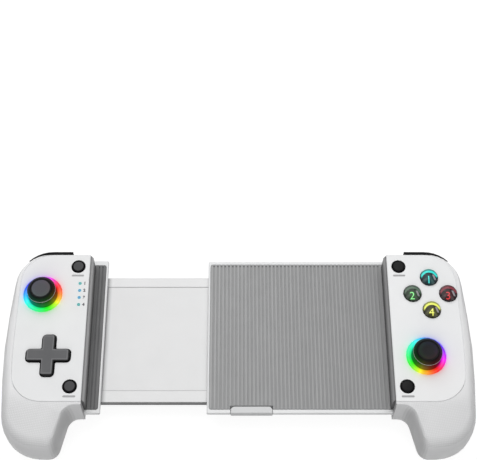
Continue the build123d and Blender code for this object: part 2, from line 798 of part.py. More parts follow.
with BuildPart() as post:
    prism([d_pad_centre], board_top, d_pad_pivot_z - d_pad_ball - pin_gap, d_pad_post)
post.part.label = "d_pad_post"
export_step(post.part, "parts/d_pad_post.step")

# Light pipes beside the left stick
with BuildPart() as indicator_lights:
    prism([(light_x, y) for y in light_ys], board_top, face_z + pin_gap, light_radius, 12)
indicator_lights.part.label = "indicator_lights"
export_step(indicator_lights.part, "parts/indicator_lights.step")

# Battery on the right housing's floor
with BuildPart() as battery:
    with Locations((half_gap + battery_spot[0], battery_spot[1], pocket_floor + pin_gap)):
        Box(*battery_size, align=standing)
    chamfer(battery.edges().filter_by(Axis.Y), battery_edge)
battery.part.label = "battery"
export_step(battery.part, "parts/battery.step")

# Charging socket under the right board, a shell with a tongue inside
with BuildPart() as usb_socket:
    socket_middle = (half_gap + usb_x, board_z - usb_height / 2)
    with BuildSketch(Plane.XZ.offset(-top_y)):
        with Locations(socket_middle):
            SlotOverall(usb_width, usb_height)
    extrude(amount=usb_depth)
    with BuildSketch(Plane.XZ.offset(-top_y)):
        with Locations(socket_middle):
            SlotOverall(usb_width - 0.7, usb_height - 0.7)
            Rectangle(usb_width - 2.4, 0.7, mode=Mode.SUBTRACT)
    extrude(amount=usb_depth - 1.2, mode=Mode.SUBTRACT)
usb_socket.part.label = "usb_socket"
export_step(usb_socket.part, "parts/usb_socket.step")


def tray_body(x0, x1, high_y, rounded):
    """Tray or ledge between two ends: upright at its rim and drawn in below it, its free corners rounded."""
    sections = []
    for z in (tray_z0, tray_rim_z, tray_top_z):
        inset = tray_slope * max(0.0, tray_rim_z - z)
        low_x = x0 + inset if rounded == 0 else x0
        high_x = x1 - inset if rounded else x1
        with BuildSketch(Plane.XY.offset(z)) as section:
            depth = high_y - tray_low_y - 2 * inset
            with Locations((low_x, tray_low_y + inset)):
                plate = Rectangle(high_x - low_x, depth, align=(Align.MIN, Align.MIN))
            chamfer(plate.vertices().group_by(Axis.X)[rounded], tray_corner)
        sections.append(section.sketch)
    loft(sections, ruled=True)


def bridge_way(x0, x1, z0, z1, gap):
    """Cuts the bridge's way through the tray or ledge, with a gap all round."""
    with Locations((x0, bridge_low_y - gap, z0)):
        Box(x1 - x0, bridge_high_y - bridge_low_y + 2 * gap, z1 - z0, align=corner_low, mode=Mode.SUBTRACT)


pad_seat_z = tray_top_z - pad_depth
bridge_stop_x = bridge_end + bridge_travel + 1
cable_slot = (cable_y - cable_width / 2 - 0.3, bridge_z0 + cable_thickness - cable_room)
tab_width = tab_x1 - tab_x0
tab_middle = (tab_x0 + tab_x1) / 2
tab_bay_high = tab_inner_y + tab_flange_in + tab_gap
tab_bay_low = tab_bay_high - tab_bay_width
spring_bay_x1 = spring_centre[0] + spring_radius + 0.8

with BuildPart() as tray_blank:
    tray_body(tray_left, half_gap, tray_high_y, 0)

# Tray, lower half: a trough for the bridge, with bays for the return spring and the release tab
with BuildPart() as tray_bottom:
    add(tray_blank.part)
    split(bisect_by=Plane.XY.offset(tray_split_z), keep=Keep.BOTTOM)
    bridge_way(tray_left - 1, bridge_stop_x, bridge_z0 - slide_gap, tray_split_z, slide_gap)
    with Locations((bridge_end - lug_length - 0.5, bridge_high_y, bridge_z0 - slide_gap)):
        length = spring_bay_x1 - bridge_end + lug_length + 0.5
        Box(length, spring_bay_y - bridge_high_y, tray_split_z, align=corner_low, mode=Mode.SUBTRACT)
    post_radius_in_spring = spring_radius - (spring_half_turns + 1) * spring_turn_step
    prism([spring_centre], bridge_z0 - slide_gap, tray_split_z - pin_gap, post_radius_in_spring)
    with Locations((bridge_stop_x - 1, *cable_slot)):
        Box(half_gap, cable_width + 0.6, 2 * cable_room, align=corner_low, mode=Mode.SUBTRACT)
    with Locations((tab_x0 - tab_flange_side - tab_gap, tab_bay_low, tab_flange_z - seat_gap)):
        width = tab_width + 2 * tab_flange_side + 2 * tab_gap
        Box(width, tab_bay_width, tray_split_z, align=corner_low, mode=Mode.SUBTRACT)
    with Locations((tab_middle - 2.6, tab_bay_low, tab_flange_z - seat_gap)):
        Box(5.2, bridge_low_y - tab_bay_low, tray_split_z, align=corner_low, mode=Mode.SUBTRACT)
tray_bottom.part.label = "tray_bottom"
export_step(tray_bottom.part, "parts/tray_bottom.step")

# Tray, upper half: the roof over the bridge, with the pad's recess and the tab's slot
with BuildPart() as tray_top:
    add(tray_blank.part)
    split(bisect_by=Plane.XY.offset(tray_split_z), keep=Keep.TOP)
    rim = tray_top.faces().sort_by(Axis.Z)[-1].edges().filter_by(lambda e: e.center().X < half_gap - 1)
    chamfer(rim, edge_break)
    bridge_way(tray_left - 1, bridge_stop_x, tray_split_z, bridge_z1 + slide_gap, slide_gap)
    with BuildSketch(Plane.XY.offset(pad_seat_z)):
        with Locations((tray_left + pad_inset, pad_low_y)):
            recess = Rectangle(half_gap - tray_left, pad_high_y - pad_low_y, align=(Align.MIN, Align.MIN))
        fillet(recess.vertices().group_by(Axis.X)[0], pad_corner)
    extrude(amount=pad_depth, mode=Mode.SUBTRACT)
    with Locations((tab_x0 - tab_gap, tray_low_y - 1, tray_split_z)):
        slot_depth = tab_inner_y - tray_low_y + 1 + tab_gap
        Box(tab_width + 2 * tab_gap, slot_depth, 5, align=corner_low, mode=Mode.SUBTRACT)
tray_top.part.label = "tray_top"
export_step(tray_top.part, "parts/tray_top.step")

# Ribbed pad in the tray
with BuildPart() as tray_pad:
    pad_x0 = tray_left + pad_inset + seat_gap
    pad_x1 = half_gap - wall_pad_thickness - seat_gap
    with BuildSketch(Plane.XY.offset(pad_seat_z)):
        with Locations((pad_x0, pad_low_y + seat_gap)):
            pad_height = pad_high_y - pad_low_y - 2 * seat_gap
            plate = Rectangle(pad_x1 - pad_x0, pad_height, align=(Align.MIN, Align.MIN))
        fillet(plate.vertices().group_by(Axis.X)[0], pad_corner - seat_gap)
        with Locations((tab_middle, tab_inner_y + 2 * tab_gap)):
            Rectangle(tab_width + 4 * tab_gap, 10, align=(Align.CENTER, Align.MAX), mode=Mode.SUBTRACT)
    extrude(amount=pad_z - pad_seat_z)
    with BuildSketch(Plane.XZ.offset(-pad_low_y)):
        with Locations(((pad_x0 + pad_x1) / 2, pad_z)):
            with GridLocations(rib_pitch, 1, int((pad_x1 - pad_x0) / rib_pitch), 1):
                Rectangle(0.45 * rib_pitch, 2 * rib_depth)
    extrude(amount=pad_low_y - tray_high_y, mode=Mode.SUBTRACT)
tray_pad.part.label = "tray_pad"
export_step(tray_pad.part, "parts/tray_pad.step")

# Clamp ledge of the left half, round the bridge's root
with BuildPart() as left_ledge:
    tray_body(-half_gap, ledge_right, ledge_high_y, 1)
    rim = left_ledge.faces().sort_by(Axis.Z)[-1].edges().filter_by(lambda e: e.center().X > 1 - half_gap)
    chamfer(rim, edge_break)
    bridge_way(-half_gap - 1, ledge_right + 1, bridge_z0 - pin_gap, bridge_z1 + pin_gap, pin_gap)
    with BuildSketch(Plane.XY.offset(pad_seat_z)):
        with Locations((ledge_right - pad_inset, ledge_pad_low_y - seat_gap)):
            recess = Rectangle(
                20, ledge_pad_high_y - ledge_pad_low_y + 2 * seat_gap, align=(Align.MAX, Align.MIN)
            )
        fillet(recess.vertices().group_by(Axis.X)[-1], pad_corner)
    extrude(amount=pad_depth, mode=Mode.SUBTRACT)
left_ledge.part.label = "left_ledge"
export_step(left_ledge.part, "parts/left_ledge.step")

with BuildPart() as left_ledge_pad:
    with BuildSketch(Plane.XY.offset(pad_seat_z)):
        with Locations((ledge_right - pad_inset - seat_gap, ledge_pad_low_y)):
            width = ledge_right - pad_inset - 2 * seat_gap + half_gap - wall_pad_thickness
            plate = Rectangle(width, ledge_pad_high_y - ledge_pad_low_y, align=(Align.MAX, Align.MIN))
        fillet(plate.vertices().group_by(Axis.X)[-1], pad_corner - seat_gap)
    extrude(amount=pad_z - pad_seat_z)
    with BuildSketch(Plane.XZ.offset(-ledge_pad_low_y)):
        with Locations((ledge_right - pad_inset - width / 2, pad_z)):
            with GridLocations(ledge_groove_pitch, 1, 2, 1):
                Rectangle(0.7, 2 * rib_depth)
    extrude(amount=ledge_pad_low_y - ledge_pad_high_y, mode=Mode.SUBTRACT)
left_ledge_pad.part.label = "left_ledge_pad"
export_step(left_ledge_pad.part, "parts/left_ledge_pad.step")

# Bridge: a flat tongue fixed in the ledge, with rails along both edges, that slides into the tray
with BuildPart() as bridge_plate:
    bridge_root = -half_gap + seat_gap
    panel_low_y = bridge_low_y + rail_low
    panel_high_y = bridge_high_y - rail_high
    panel_depth = bridge_cover_thickness + bridge_cover_drop
    with Locations((bridge_root, bridge_low_y, bridge_z0)):
        Box(bridge_end - bridge_root, bridge_high_y - bridge_low_y, bridge_z1 - bridge_z0, align=corner_low)
    with Locations((ledge_right + seat_gap, panel_low_y, bridge_z1 - panel_depth)):
        panel_length = bridge_end - 1 - ledge_right - seat_gap
        Box(panel_length, panel_high_y - panel_low_y, 1, align=corner_low, mode=Mode.SUBTRACT)
    with Locations((bridge_root, *cable_slot)):
        Box(bridge_end - bridge_root, cable_width + 0.6, 2 * cable_room, align=corner_low, mode=Mode.SUBTRACT)
    with Locations((bridge_end - lug_length, bridge_high_y, bridge_z0)):
        lug_reach = spring_centre[1] + spring_radius - spring_thickness / 2 - pin_gap - bridge_high_y
        Box(lug_length, lug_reach, tray_split_z - bridge_z0 - seat_gap, align=corner_low)
    with Locations((tab_middle - 2.6, bridge_low_y, bridge_z0)):
        Box(5.2, 1.0, bridge_z1 - bridge_z0, align=corner_low, mode=Mode.SUBTRACT)
bridge_plate.part.label = "bridge_plate"
export_step(bridge_plate.part, "parts/bridge_plate.step")

with BuildPart() as bridge_cover:
    with Locations((ledge_right + 2 * seat_gap, panel_low_y + seam_gap, bridge_z1 - panel_depth)):
        height = panel_high_y - panel_low_y - 2 * seam_gap
        Box(panel_length - 2 * seat_gap, height, bridge_cover_thickness, align=corner_low)
bridge_cover.part.label = "bridge_cover"
export_step(bridge_cover.part, "parts/bridge_cover.step")

# Return spring: a steel strip wound on a post in the tray and hooked on the bridge's lug
with BuildPart() as return_spring:
    with BuildSketch(Plane.XY.offset(bridge_z0)):
        with BuildLine():
            x, y = spring_centre[0], spring_centre[1] + spring_radius
            points = [(bridge_end - lug_length, y), (x, y)]
            for half_turn in range(spring_half_turns):
                way = 1 if half_turn % 2 == 0 else -1
                radius = spring_radius - half_turn * spring_turn_step
                for i in range(1, spring_facets + 1):
                    a = pi * i / spring_facets
                    points.append((x + way * radius * sin(a), y - way * radius * (1 - cos(a))))
                y -= way * 2 * radius
            Polyline(*points)
        trace(line_width=spring_thickness)
    extrude(amount=spring_height)
return_spring.part.label = "return_spring"
export_step(return_spring.part, "parts/return_spring.step")

# Ribbon cables: the tray's lies on the trough's floor, the bridge's in the channel above it
ribbons = {
    "tray_ribbon": (1, bridge_end + 1, bridge_z0 - slide_gap + pin_gap),
    "bridge_ribbon": (-1, 0.2 - bridge_end, bridge_z0 + cable_room - seat_gap),
}
for name, direction, inner_x, low_z in [(name, *ribbon) for name, ribbon in ribbons.items()]:
    with BuildPart() as ribbon:
        with BuildSketch(Plane.XZ.offset(-cable_y - cable_width / 2)):
            with BuildLine():
                corners = [
                    (inner_x, low_z),
                    (cable_riser_x + cable_thickness, low_z),
                    (cable_riser_x + cable_thickness, board_z - pin_gap),
                    (cable_riser_x, board_z - pin_gap),
                    (cable_riser_x, low_z + cable_thickness),
                    (inner_x, low_z + cable_thickness),
                ]
                Polyline(*[(direction * x, z) for x, z in corners], close=True)
            make_face()
        extrude(amount=cable_width)
    ribbon.part.label = name
    export_step(ribbon.part, f"parts/{name}.step")

# Release tab: a thumb piece, a flange that guides it and a latch tooth beside the bridge
with BuildPart() as release_tab:
    with BuildSketch(Plane.XY.offset(tray_split_z + pin_gap)):
        with Locations((tab_middle, tray_low_y)):
            plate = Rectangle(tab_width, tab_inner_y - tray_low_y, align=(Align.CENTER, Align.MIN))
        chamfer(plate.vertices().group_by(Axis.Y)[-1], 1.4)
    extrude(amount=pad_z - tray_split_z - pin_gap)
    chamfer(release_tab.faces().sort_by(Axis.Z)[-1].edges(), 0.3)
    flange_high_y = tab_inner_y + tab_flange_in
    height = tray_split_z - seat_gap - tab_flange_z
    with Locations((tab_middle, flange_high_y, tab_flange_z)):
        width = tab_width + 2 * tab_flange_side
        Box(width, tab_flange_width, height, align=(Align.CENTER, Align.MAX, Align.MIN))
    with Locations((tab_middle, tab_inner_y, tab_flange_z)):
        neck = (tab_width, tab_flange_width - tab_flange_in, height + seat_gap + pin_gap)
        Box(*neck, align=(Align.CENTER, Align.MAX, Align.MIN))
    with Locations((tab_middle, flange_high_y, tab_flange_z)):
        reach = bridge_low_y - slide_gap - flange_high_y - seat_gap
        Box(4.6, reach, height, align=(Align.CENTER, Align.MIN, Align.MIN))
release_tab.part.label = "release_tab"
export_step(release_tab.part, "parts/release_tab.step")

# Wavy leaf that pushes the tab home
with BuildPart() as release_spring:
    spring_low = tab_bay_low + pin_gap + tab_spring_wire / 2
    spring_high = flange_high_y - tab_flange_width - pin_gap - tab_spring_wire / 2
    with BuildSketch(Plane.XY.offset(tab_flange_z)):
        with BuildLine():
            waves = [
                (tab_x0 + tab_width * i / 6, spring_low if i % 2 else spring_high) for i in range(7)
            ]
            Polyline(*waves)
        trace(line_width=tab_spring_wire)
    extrude(amount=1.8)
release_spring.part.label = "release_spring"
export_step(release_spring.part, "parts/release_spring.step")
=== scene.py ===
from math import asin, cos, degrees, pi, radians, sin, sqrt

import bmesh
import bpy
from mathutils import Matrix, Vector


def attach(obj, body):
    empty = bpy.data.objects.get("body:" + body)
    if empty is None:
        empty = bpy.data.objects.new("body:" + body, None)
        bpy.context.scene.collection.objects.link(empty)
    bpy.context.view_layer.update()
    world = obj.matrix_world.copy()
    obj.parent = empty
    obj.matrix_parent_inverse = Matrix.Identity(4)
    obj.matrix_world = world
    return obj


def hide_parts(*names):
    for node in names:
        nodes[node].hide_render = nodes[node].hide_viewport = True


# The looks of a telescopic gamepad that lies face up, pulled fully out
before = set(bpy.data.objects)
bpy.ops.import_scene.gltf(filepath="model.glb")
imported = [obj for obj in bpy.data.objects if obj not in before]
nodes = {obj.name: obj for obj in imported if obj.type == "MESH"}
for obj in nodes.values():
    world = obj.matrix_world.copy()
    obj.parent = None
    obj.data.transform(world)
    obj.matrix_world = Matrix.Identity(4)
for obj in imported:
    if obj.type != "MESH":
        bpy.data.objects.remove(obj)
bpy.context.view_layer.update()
scene = bpy.context.scene
mm = 0.001
side_signs = {"left": -1, "right": 1}

# Places and sizes that this script shares with the CAD model, in millimetres
face_z = 30.0
clamp_x = 85.0
stick_spots = {"left": (-110.6, 32.1), "right": (103.2, -5.4)}
pivot_z = 24.0
dome_radius = 9.5
dome_wall = 0.8
dome_angle = 69.0
cap_neck = 3.8
cap_hub = 3.0
hub_low_z = 28.0
ring_radius = 10.9
ring_flange = 11.35
ring_bore = 9.95
ring_low_z = 26.2
face_centre = (108.5, 32.5)
face_pitch = 10.1
face_radius = 4.85
face_top = 31.4
face_crown = 0.8
face_ways = {"top": (0, 1), "left": (-1, 0), "right": (1, 0), "bottom": (0, -1)}
face_spots = {
    way: (face_centre[0] + face_pitch * across, face_centre[1] + face_pitch * up)
    for way, (across, up) in face_ways.items()
}
system_spots = {
    "select_button": (-91.6, 49.6),
    "turbo_button": (-91.6, -23.1),
    "start_button": (91.6, 49.6),
    "home_button": (91.6, -23.1),
}
system_radius = 3.55
system_top = 30.65
system_crown = 0.15
flange_top = 27.4
flange_low = 25.8
foot_z = 22.0
d_pad_centre = (-104.6, -5.2)
d_pad_reach = 12.0
light_x = -90.0
light_ys = (38.9, 34.5, 30.1, 25.7)
pad_top = 16.0

# Radii of the buttons' flanges and feet, which are hidden and at most 0.05 smaller than in the CAD model
face_flange = 5.4
face_foot = 3.2
system_flange = 4.1
system_foot = 1.95

# How finely turned pieces are divided, and the angle from which an edge stays sharp
turn_steps = 64
sharp_angle = radians(35)


# Node-tree shorthand
def add(tree, kind, values=None, **settings):
    """Adds a node, with values or links for its inputs, and returns it."""
    made = tree.nodes.new(kind)
    for key, value in settings.items():
        setattr(made, key, value)
    for key, value in (values or {}).items():
        if isinstance(value, bpy.types.NodeSocket):
            tree.links.new(value, made.inputs[key])
        else:
            made.inputs[key].default_value = value
    return made


def calc(tree, operation, *values):
    """One Math node's output."""
    return add(tree, "ShaderNodeMath", dict(enumerate(values)), operation=operation).outputs[0]


def times(tree, a, b):
    return calc(tree, "MULTIPLY", a, b)


def plus(tree, a, b):
    return calc(tree, "ADD", a, b)


def minus(tree, a, b):
    return calc(tree, "SUBTRACT", a, b)


def apart(tree, a, b):
    """How far two numbers lie from each other."""
    return calc(tree, "ABSOLUTE", minus(tree, a, b))


def ramp(tree, value, low, high, to_low=0.0, to_high=1.0):
    """A smooth step: to_low where the value is at low, to_high where it is at high."""
    values = {0: value, 1: low, 2: high, 3: to_low, 4: to_high}
    made = add(tree, "ShaderNodeMapRange", values, interpolation_type="SMOOTHSTEP")
    return made.outputs[0]


def place(tree):
    """The place on the piece in its own coordinates, in metres, which move with it."""
    return add(tree, "ShaderNodeTexCoord").outputs["Object"]


def parts(tree, vector):
    """A vector's three numbers."""
    return add(tree, "ShaderNodeSeparateXYZ", {0: vector}).outputs


def noise(tree, vector, scale, detail=2.0):
    values = {"Vector": vector, "Scale": scale, "Detail": detail}
    return add(tree, "ShaderNodeTexNoise", values).outputs["Fac"]


def mix(tree, factor, a, b):
    """Colour a turning into colour b, which are this node's sockets 6 and 7."""
    values = {"Factor": factor, 6: a, 7: b}
    return add(tree, "ShaderNodeMix", values, data_type="RGBA").outputs[2]


def shade(colour, factor=1.0):
    """A colour as a socket takes it, made lighter or darker by a factor."""
    return (*[c * factor for c in colour], 1.0)


def linked_from(socket):
    return socket.links[0].from_socket


def away(tree, x, y, spot):
    """How far a place is from the upright line through spot: its two parts and the distance, in metres."""
    dx = minus(tree, x, spot[0] * mm)
    dy = minus(tree, y, spot[1] * mm)
    reach = calc(tree, "SQRT", plus(tree, calc(tree, "POWER", dx, 2.0), calc(tree, "POWER", dy, 2.0)))
    return dx, dy, reach


# Kinds of material
def start_material(name):
    """A new material, its tree and its Principled shader."""
    material = bpy.data.materials.new(name)
    material.use_nodes = True
    tree = material.node_tree
    return material, tree, tree.nodes["Principled BSDF"]


def moulded(
    name, colour, roughness=0.4, tone=0.03, grain=2600.0, depth=0.03, wear=1.05, specular=0.5, metallic=0.0
):
    """Moulded plastic or rubber: soft tone changes, fine grain, and rounded edges made lighter, partly as
    wear and partly as a painted highlight.
    """
    material, tree, shader = start_material(name)
    vector = place(tree)
    cloud = noise(tree, vector, 38.0, 3.0)
    fine = noise(tree, vector, grain, 2.0)
    body = mix(tree, cloud, shade(colour, 1 - tone), shade(colour, 1 + tone))
    edge_radius = 0.25 * mm
    rounded = add(tree, "ShaderNodeBevel", {"Radius": edge_radius}, samples=4).outputs[0]
    flat = add(tree, "ShaderNodeNewGeometry").outputs["True Normal"]
    level = add(tree, "ShaderNodeVectorMath", {0: rounded, 1: flat}, operation="DOT_PRODUCT")
    # Lighter edges: partly wear, partly a painted highlight
    at_edge = times(tree, ramp(tree, level.outputs["Value"], 0.97, 0.8), ramp(tree, cloud, 0.35, 0.7))
    tree.links.new(mix(tree, at_edge, body, shade(colour, wear)), shader.inputs["Base Color"])
    bump = {"Strength": 0.6, "Distance": depth * mm, "Height": fine, "Normal": rounded}
    tree.links.new(add(tree, "ShaderNodeBump", bump).outputs[0], shader.inputs["Normal"])
    rough = ramp(tree, noise(tree, vector, 120.0), 0.3, 0.7, roughness - 0.05, roughness + 0.05)
    tree.links.new(rough, shader.inputs["Roughness"])
    shader.inputs["Specular IOR Level"].default_value = specular
    shader.inputs["Metallic"].default_value = metallic
    return material, tree, shader


def simple(name, colour, roughness=0.4, **more):
    return moulded(name, colour, roughness, **more)[0]


def metal(name, colour, roughness):
    return simple(name, colour, roughness, tone=0.06, grain=3500.0, depth=0.01, metallic=1.0)


def glowing(name, colour, strength, roughness=0.3, tone=0.08):
    """Plastic that gives off a little light of its own colour."""
    material, tree, shader = moulded(name, colour, roughness, tone)
    tree.links.new(linked_from(shader.inputs["Base Color"]), shader.inputs["Emission Color"])
    shader.inputs["Emission Strength"].default_value = strength
    return material


def darken(material, colour, *bands):
    """Soft dark bands. Each is an axis, where it is darkest and where it ends (mm), and its strength."""
    tree = material.node_tree
    base = tree.nodes["Principled BSDF"].inputs["Base Color"]
    axes = dict(zip("xyz", parts(tree, place(tree))))
    for axis, dark, clear, strength in bands:
        band = ramp(tree, axes[axis], clear * mm, dark * mm, 0.0, strength)
        tree.links.new(mix(tree, band, linked_from(base), shade(colour)), base)


def ribbed(name, rib, groove, end_y):
    """Ribbed rubber: painted shade in its grooves, darkest where they end, and faintly streaked along its
    ribs.
    """
    material, tree, shader = moulded(name, rib, 0.6, grain=1800.0)
    vector = place(tree)
    y, z = parts(tree, vector)[1:]
    long_ways = add(tree, "ShaderNodeMapping", {"Vector": vector, "Scale": (1.0, 0.015, 1.0)}).outputs[0]
    streak = ramp(tree, noise(tree, long_ways, 900.0), 0.3, 0.7, 0.0, 0.5)
    deep = ramp(tree, z, (pad_top - 0.05) * mm, (pad_top - 0.2) * mm)
    ends = ramp(tree, apart(tree, y, end_y * mm), 0.65 * mm, 0.35 * mm)
    inside = ramp(tree, y, (end_y + 0.3) * mm, (end_y - 0.1) * mm)
    body = linked_from(shader.inputs["Base Color"])
    body = mix(tree, streak, body, shade(groove))
    # Painted shade in the grooves, and darker still where they end
    body = mix(tree, times(tree, deep, inside), body, shade(groove))
    body = mix(tree, times(tree, deep, ends), body, shade(groove, 0.45))
    tree.links.new(body, shader.inputs["Base Color"])
    return material


# The rings' light goes once round the colour wheel, clockwise and at an uneven pace. hue_starts says how
# much of the way lies before each ring's upper side, and first_hue where on the wheel the way starts. Each
# of hue_steps is a share of the way, and the share of the wheel that is passed by then.
hue_starts = {"left": 0.93, "right": 0.695}
first_hue = 0.85
hue_steps = ((0.11, 0.16), (0.24, 0.285), (0.41, 0.53), (0.6, 0.645))
ring_saturation = 0.88
screen_gamma = 2.2


def ring_hue(tree, x, y, side):
    """The light's colour at a place round a stick, and how far out that place is, in metres."""
    dx, dy, reach = away(tree, x, y, stick_spots[side])
    turn = calc(tree, "DIVIDE", calc(tree, "ARCTAN2", dx, dy), 2 * pi)
    along = calc(tree, "FRACT", plus(tree, turn, hue_starts[side]))
    table = add(tree, "ShaderNodeValToRGB", {"Fac": along})
    table.color_ramp.elements[0].position = 0.0
    table.color_ramp.elements[1].position = 1.0
    for at, step in hue_steps:
        table.color_ramp.elements.new(at).color = (step, step, step, 1.0)
    hue = calc(tree, "FRACT", plus(tree, table.outputs["Color"], first_hue))
    wheel = add(tree, "ShaderNodeCombineColor", {0: hue, 1: ring_saturation, 2: 1.0}, mode="HSV")
    return add(tree, "ShaderNodeGamma", {0: wheel.outputs[0], 1: screen_gamma}).outputs[0], reach


def ring_material(side):
    """Clear plastic lit from below, its colour going round the stick."""
    material, tree, shader = start_material(f"{side}_ring_light")
    vector = place(tree)
    x, y = parts(tree, vector)[:2]
    colour, reach = ring_hue(tree, x, y, side)
    cloud = noise(tree, vector, 400.0)
    body = mix(tree, cloud, shade((0.012, 0.012, 0.012)), shade((0.03, 0.03, 0.03)))
    tree.links.new(body, shader.inputs["Base Color"])
    tree.links.new(colour, shader.inputs["Emission Color"])
    glow = ramp(tree, reach, 7.9 * mm, 8.9 * mm, 0.25, 0.95)
    shine = times(tree, glow, ramp(tree, cloud, 0.2, 0.8, 0.92, 1.05))
    tree.links.new(shine, shader.inputs["Emission Strength"])
    shader.inputs["Roughness"].default_value = 0.3
    shader.inputs["Specular IOR Level"].default_value = 0.3
    return material


def painted_ring_glow(name, colour, roughness, side, low, high, strength, tone=0.1):
    """Dark plastic or rubber on a stick, with its ring's light painted on as a glow from radius low on, and
    most at radius high.
    """
    material, tree, shader = moulded(
        f"{side}_{name}", colour, roughness, tone=tone, grain=1500.0, wear=1.6, specular=0.1
    )
    x, y = parts(tree, place(tree))[:2]
    light, reach = ring_hue(tree, x, y, side)
    tree.links.new(light, shader.inputs["Emission Color"])
    glow = ramp(tree, reach, low * mm, high * mm, 0.0, strength)
    tree.links.new(glow, shader.inputs["Emission Strength"])
    return material


# Covers, grips and direction pad
white = (0.73, 0.735, 0.74)
grip_white = (0.70, 0.702, 0.708)
# The two face plates' tones differ as painted light and shade on one white
cover_tones = {"left": 0.96, "right": 1.02}
indicator_light = (0.55, 0.86, 0.86)


def cover_material(side):
    """White face plate with a painted glow of the ring round its stick, and on the left one a painted glow
    of the indicator lights too.
    """
    material, tree, shader = moulded(f"{side}_face_plate", shade(white, cover_tones[side])[:3], 0.38)
    x, y = parts(tree, place(tree))[:2]
    colour, reach = ring_hue(tree, x, y, side)

    # The ring's painted light has a bright part close to the ring and a faint, wide one
    beyond = calc(tree, "MAXIMUM", minus(tree, reach, ring_radius * mm), 0.0)
    near = calc(tree, "EXPONENT", calc(tree, "DIVIDE", beyond, -1.0 * mm))
    wide = calc(tree, "EXPONENT", calc(tree, "DIVIDE", beyond, -4.5 * mm))
    spill = plus(tree, times(tree, near, 0.42), times(tree, wide, 0.06))
    with_painted_glow = mix(tree, spill, linked_from(shader.inputs["Base Color"]), colour)
    # Painted glow round each indicator light on the left plate
    if side == "left":
        for light_y in light_ys:
            glow = ramp(tree, away(tree, x, y, (light_x, light_y))[2], 2.0 * mm, 0.8 * mm, 0.0, 0.3)
            with_painted_glow = mix(tree, glow, with_painted_glow, shade(indicator_light))
    tree.links.new(with_painted_glow, shader.inputs["Base Color"])
    tree.links.new(colour, shader.inputs["Emission Color"])
    tree.links.new(times(tree, spill, 0.25), shader.inputs["Emission Strength"])
    return material


def grip_material(side):
    """White shell with small raised dots on the front of the grip, painted shade between the dots, and
    painted shade on the grip's inner side.
    """
    dot_pitch = 1.3 * mm
    material, tree, shader = moulded(f"{side}_grip", grip_white, 0.42)
    vector = place(tree)
    y = parts(tree, vector)[1]
    sign = side_signs[side]
    slant = {"Vector": vector, "Rotation": (0, 0, radians(38 * sign))}
    slanted = parts(tree, add(tree, "ShaderNodeMapping", slant).outputs[0])
    waves = [calc(tree, "SINE", times(tree, slanted[i], 2 * pi / dot_pitch)) for i in (0, 1)]
    dots = ramp(tree, times(tree, *waves), 0.1, 0.7)
    facing = parts(tree, add(tree, "ShaderNodeNewGeometry").outputs["True Normal"])
    across, up = facing[0], facing[2]
    patch = times(tree, ramp(tree, y, -22 * mm, -36 * mm), ramp(tree, up, 0.3, 0.75))
    height = times(tree, dots, patch)
    plain = linked_from(shader.inputs["Normal"])
    bump = {"Strength": 0.6, "Distance": 0.08 * mm, "Height": height, "Normal": plain}
    tree.links.new(add(tree, "ShaderNodeBump", bump).outputs[0], shader.inputs["Normal"])
    # Painted shade in the hollows between the dots
    painted_hollow_shade = times(tree, minus(tree, 1.0, dots), patch)
    body = linked_from(shader.inputs["Base Color"])
    body = mix(tree, times(tree, painted_hollow_shade, 0.3), body, shade(grip_white, 0.6))
    # Painted shade on the grip's inner side
    painted_inner_shade = ramp(tree, times(tree, across, -sign), 0.25, 0.85, 0.0, 0.52)
    painted_inner_shade = times(tree, painted_inner_shade, ramp(tree, y, -27 * mm, -33 * mm))
    body = mix(tree, painted_inner_shade, body, shade(grip_white, 0.42))
    tree.links.new(body, shader.inputs["Base Color"])
    return material


def d_pad_material():
    """Dark grey top of the direction pad, with a painted highlight along the bevel of its raised cross and
    black painted shade outside it.
    """
    cross_middle = (-104.9, -5.05)
    arm_length = 11.0
    arm_half_width = 2.75
    material, tree, shader = moulded("d_pad_plastic", (0.095, 0.096, 0.10), 0.42, tone=0.05, specular=0.25)
    x, y = parts(tree, place(tree))[:2]
    across = apart(tree, x, cross_middle[0] * mm)
    along = apart(tree, y, cross_middle[1] * mm)
    arms = []
    for lengthways, sideways in ((across, along), (along, across)):
        past_end = minus(tree, lengthways, arm_length * mm)
        past_side = minus(tree, sideways, arm_half_width * mm)
        arms.append(calc(tree, "MAXIMUM", past_end, past_side))
    beyond = calc(tree, "MINIMUM", *arms)
    # Painted highlight along the bevel of the cross
    bevel = times(tree, ramp(tree, calc(tree, "ABSOLUTE", beyond), 0.45 * mm, 0.1 * mm), 0.35)
    colour = mix(tree, bevel, linked_from(shader.inputs["Base Color"]), shade((0.26, 0.26, 0.27)))
    # Black painted shade outside the raised cross
    colour = mix(tree, ramp(tree, beyond, 0.15 * mm, 0.5 * mm), colour, shade((0.006, 0.006, 0.0065)))
    tree.links.new(colour, shader.inputs["Base Color"])
    return material


def indicator_material():
    """Lit lenses, greener at both ends of their row and bluer in its middle."""
    material, tree, shader = moulded("indicator_glow", (0.05, 0.34, 0.33), 0.3)
    y = parts(tree, place(tree))[1]
    from_middle = apart(tree, y, sum(light_ys) / 4 * mm)
    bluer = ramp(tree, from_middle, 5.5 * mm, 3.3 * mm)
    lit = mix(tree, bluer, linked_from(shader.inputs["Base Color"]), shade((0.05, 0.28, 0.48)))
    tree.links.new(lit, shader.inputs["Base Color"])
    tree.links.new(lit, shader.inputs["Emission Color"])
    shader.inputs["Emission Strength"].default_value = 0.12
    return material


